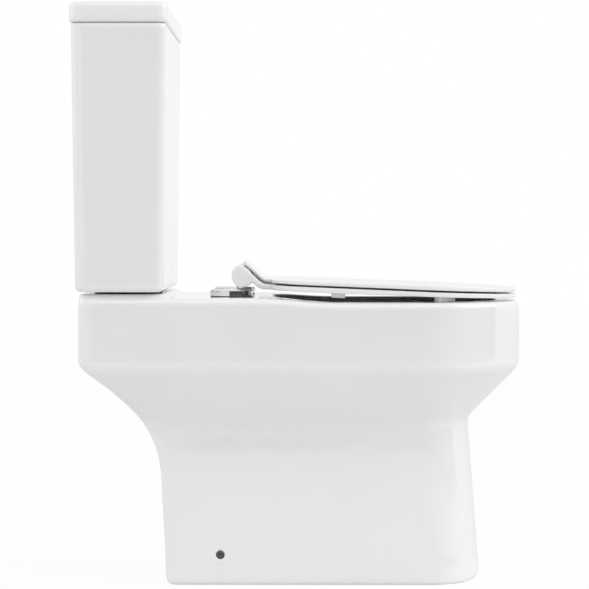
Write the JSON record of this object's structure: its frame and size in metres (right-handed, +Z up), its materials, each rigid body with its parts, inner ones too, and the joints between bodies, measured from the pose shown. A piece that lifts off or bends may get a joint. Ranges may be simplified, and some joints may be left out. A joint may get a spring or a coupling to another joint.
{
  "type": "rimless toilet",
  "caption": "Close-coupled floor-standing toilet: glazed pan with an open rim ledge, cistern with dual flush button, flush and fill valves, slim hinged seat and lid on round chrome bases.",
  "frame": {"origin": "on the floor, under the middle of the whole object's box", "axes": "+Z up, the bowl's nose and the user's side at -Y, the cistern at +Y, +X to the right of someone who looks from the front towards the cistern"},
  "size_m": [0.3844, 0.6255, 0.808],
  "materials": {
    "ceramic": "white gloss glaze",
    "seat_plastic": "white gloss urea",
    "chrome": "polished",
    "hinge_plastic": "white gloss",
    "steel": "brushed",
    "dark_rubber": "matt",
    "white_rubber": "translucent white, soft",
    "valve_plastic": "satin white",
    "grey_plastic": "satin grey",
    "float_plastic": "satin blue"
  },
  "bodies": {
    "base": {"pan": "ceramic", "cistern_tank": "ceramic", "hinge_base_left": "chrome", "hinge_base_right": "chrome", "hinge_post_left": "hinge_plastic", "hinge_post_right": "hinge_plastic", "coupling_bolts": "steel", "coupling_washers": "steel", "hinge_studs": "steel", "fill_valve_pin": "steel", "coupling_gasket": "dark_rubber", "coupling_bolt_seals": "dark_rubber", "cistern_buffers": "dark_rubber", "flush_valve_washer": "dark_rubber", "fill_valve_washer": "dark_rubber", "hinge_gaskets": "dark_rubber", "hinge_bushes": "white_rubber", "flush_valve_body": "valve_plastic", "flush_valve_head": "valve_plastic", "fill_valve_body": "valve_plastic", "hinge_wing_nuts": "valve_plastic", "coupling_wing_nuts": "valve_plastic", "flush_valve_backnut": "grey_plastic", "fill_valve_backnut": "grey_plastic", "fill_valve_cap": "grey_plastic", "floor_brackets": "grey_plastic", "hinge_damper_left": "grey_plastic", "hinge_damper_right": "grey_plastic"},
    "seat": {"seat_ring": "seat_plastic", "seat_buffers": "white_rubber"},
    "lid": {"seat_lid": "seat_plastic", "lid_buffers": "white_rubber"},
    "cistern_cover": {"cistern_lid": "ceramic", "button_housing": "chrome", "button_locknut": "grey_plastic"},
    "full_button": {"full_flush_button": "chrome", "full_flush_rod": "valve_plastic"},
    "half_button": {"half_flush_button": "chrome", "half_flush_rod": "valve_plastic"},
    "flush_valve": {"flush_valve_spindle": "valve_plastic", "flush_valve_seal": "dark_rubber", "flush_valve_float": "float_plastic"},
    "fill_float": {"fill_valve_float": "float_plastic"},
    "fill_lever": {"fill_valve_lever": "valve_plastic"}
  },
  "joints": [
    {"name": "seat_hinge", "type": "hinge", "parent": "base", "child": "seat", "pos_m": [0, 0.0794, 0.4293], "axis": [-1, 0, 0], "range_deg": [0, 104]},
    {"name": "lid_hinge", "type": "hinge", "parent": "seat", "child": "lid", "pos_m": [0, 0.0794, 0.4293], "axis": [1, 0, 0], "range_deg": [-104, 0]},
    {"name": "cistern_lid_lift", "type": "slide", "parent": "base", "child": "cistern_cover", "axis": [0, 0, 1], "range_m": [0, 0.12]},
    {"name": "full_flush_press", "type": "slide", "parent": "cistern_cover", "child": "full_button", "axis": [0, 0, -1], "range_m": [0, 0.007], "stiffness_N_per_m": 300, "springref_m": -0.012},
    {"name": "half_flush_press", "type": "slide", "parent": "cistern_cover", "child": "half_button", "axis": [0, 0, -1], "range_m": [0, 0.007], "stiffness_N_per_m": 300, "springref_m": -0.012},
    {"name": "flush_valve_lift", "type": "slide", "parent": "base", "child": "flush_valve", "axis": [0, 0, 1], "range_m": [0, 0.0142]},
    {"name": "fill_float_rise", "type": "slide", "parent": "base", "child": "fill_float", "axis": [0, 0, 1], "range_m": [0, 0.01]},
    {"name": "fill_lever_turn", "type": "hinge", "parent": "base", "child": "fill_lever", "pos_m": [0.085, 0.24555, 0.7085], "axis": [0, 1, 0], "range_deg": [0, 19.5]}
  ],
  "couplings": [
    {"joint": "flush_valve_lift", "follows": "full_flush_press", "ratio": 2},
    {"joint": "fill_lever_turn", "follows": "fill_float_rise", "rad_per_m": 33.333}
  ]
}
